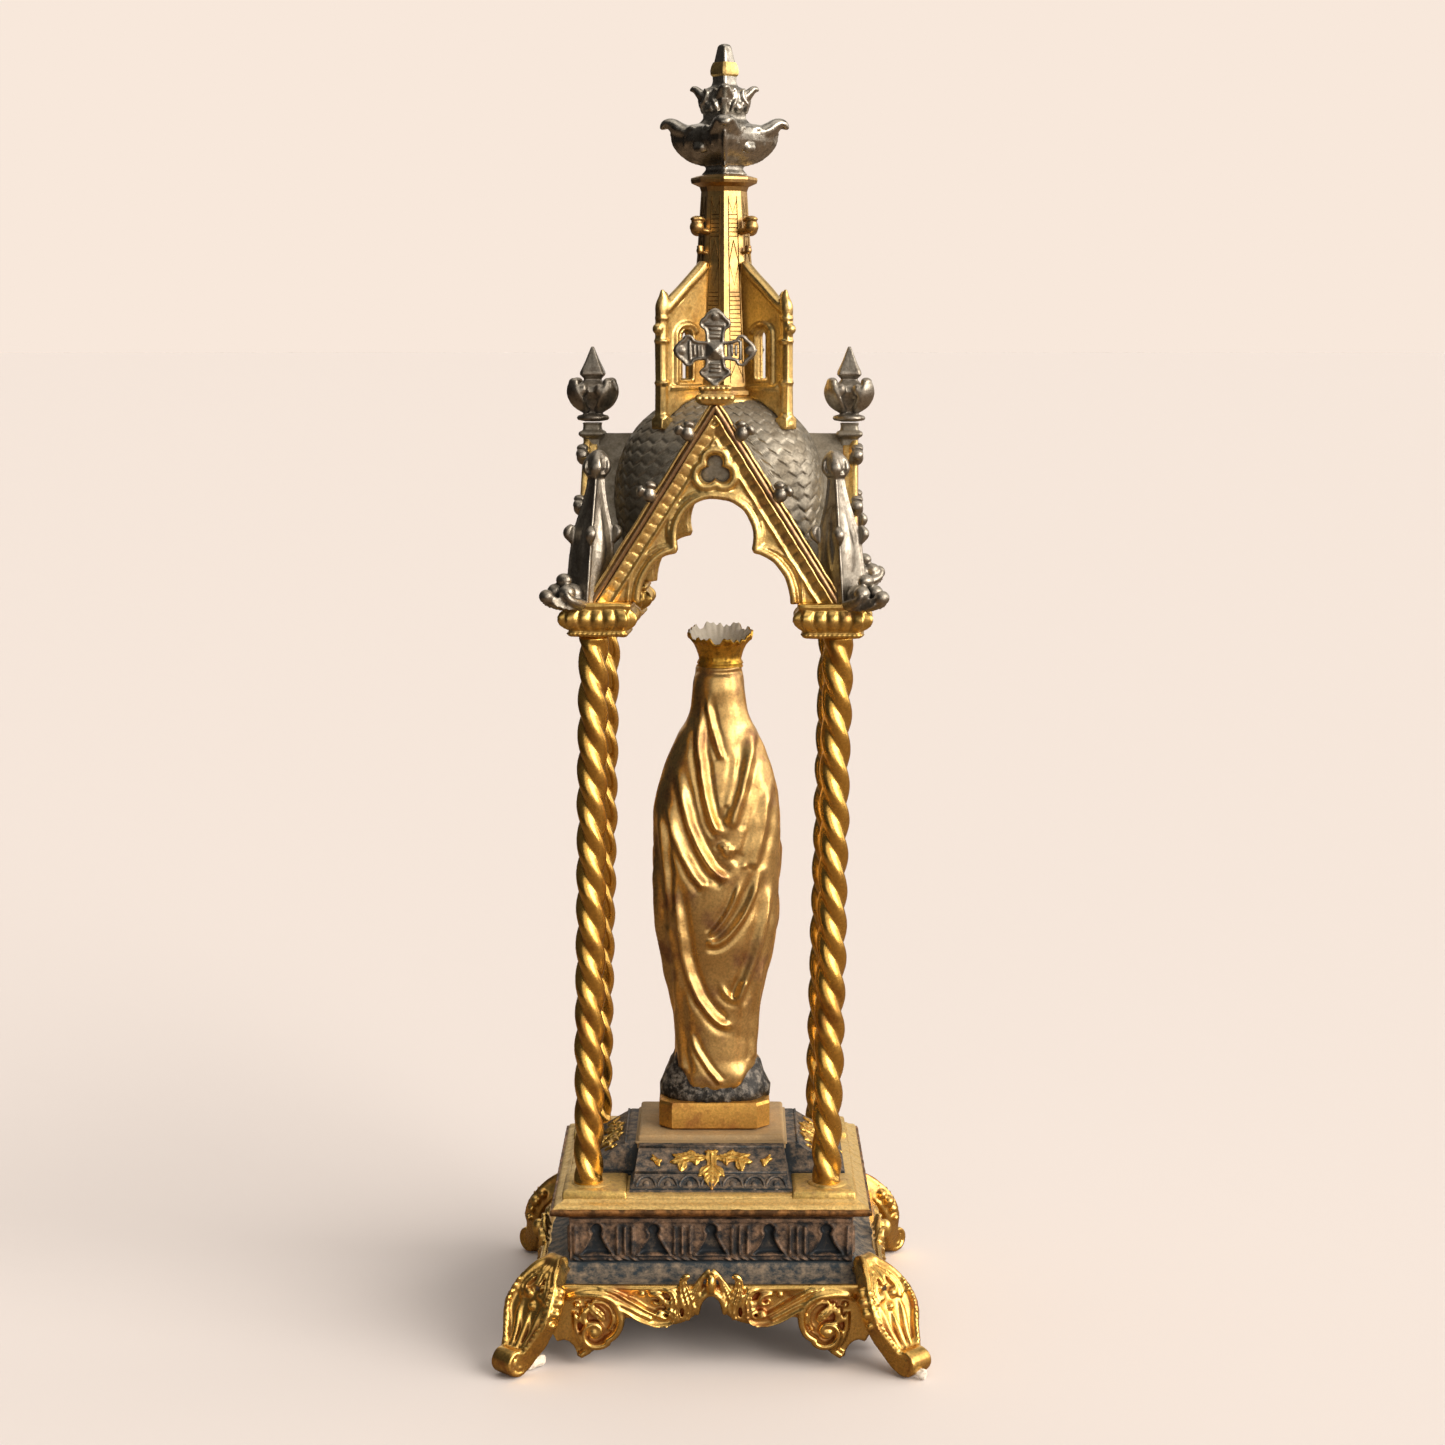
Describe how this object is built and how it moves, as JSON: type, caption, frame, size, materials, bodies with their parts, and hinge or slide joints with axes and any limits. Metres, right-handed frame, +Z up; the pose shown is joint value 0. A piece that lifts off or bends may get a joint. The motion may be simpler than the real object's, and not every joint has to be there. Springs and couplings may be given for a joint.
{
  "type": "altarpiece",
  "caption": "Small gilt metal altarpiece: a crowned draped figure under a gabled and domed canopy on twisted columns, over a scrolled stand, with a spire and crosses.",
  "frame": {"origin": "on the ground under the middle of the four feet", "axes": "+Z up; the figure looks along +Y, the side with the figure's back faces -Y, +X is to the right of someone who looks at that side"},
  "size_m": [0.1182, 0.1114, 0.3523],
  "materials": {
    "gilt_casting": "bright antique gilding over cast metal, worn and darkened in the hollows",
    "silvered_casting": "dull silvered casting, dark in the hollows"
  },
  "bodies": {
    "root": {"stand": "gilt_casting", "base_plate": "gilt_casting", "column_front_left": "gilt_casting", "column_front_right": "gilt_casting", "column_rear_left": "gilt_casting", "column_rear_right": "gilt_casting", "canopy": "gilt_casting", "spire": "gilt_casting", "finial": "silvered_casting", "cross_front": "silvered_casting", "cross_rear": "silvered_casting", "side_finial_left": "silvered_casting", "side_finial_right": "silvered_casting", "statue": "gilt_casting"}
  },
  "joints": []
}
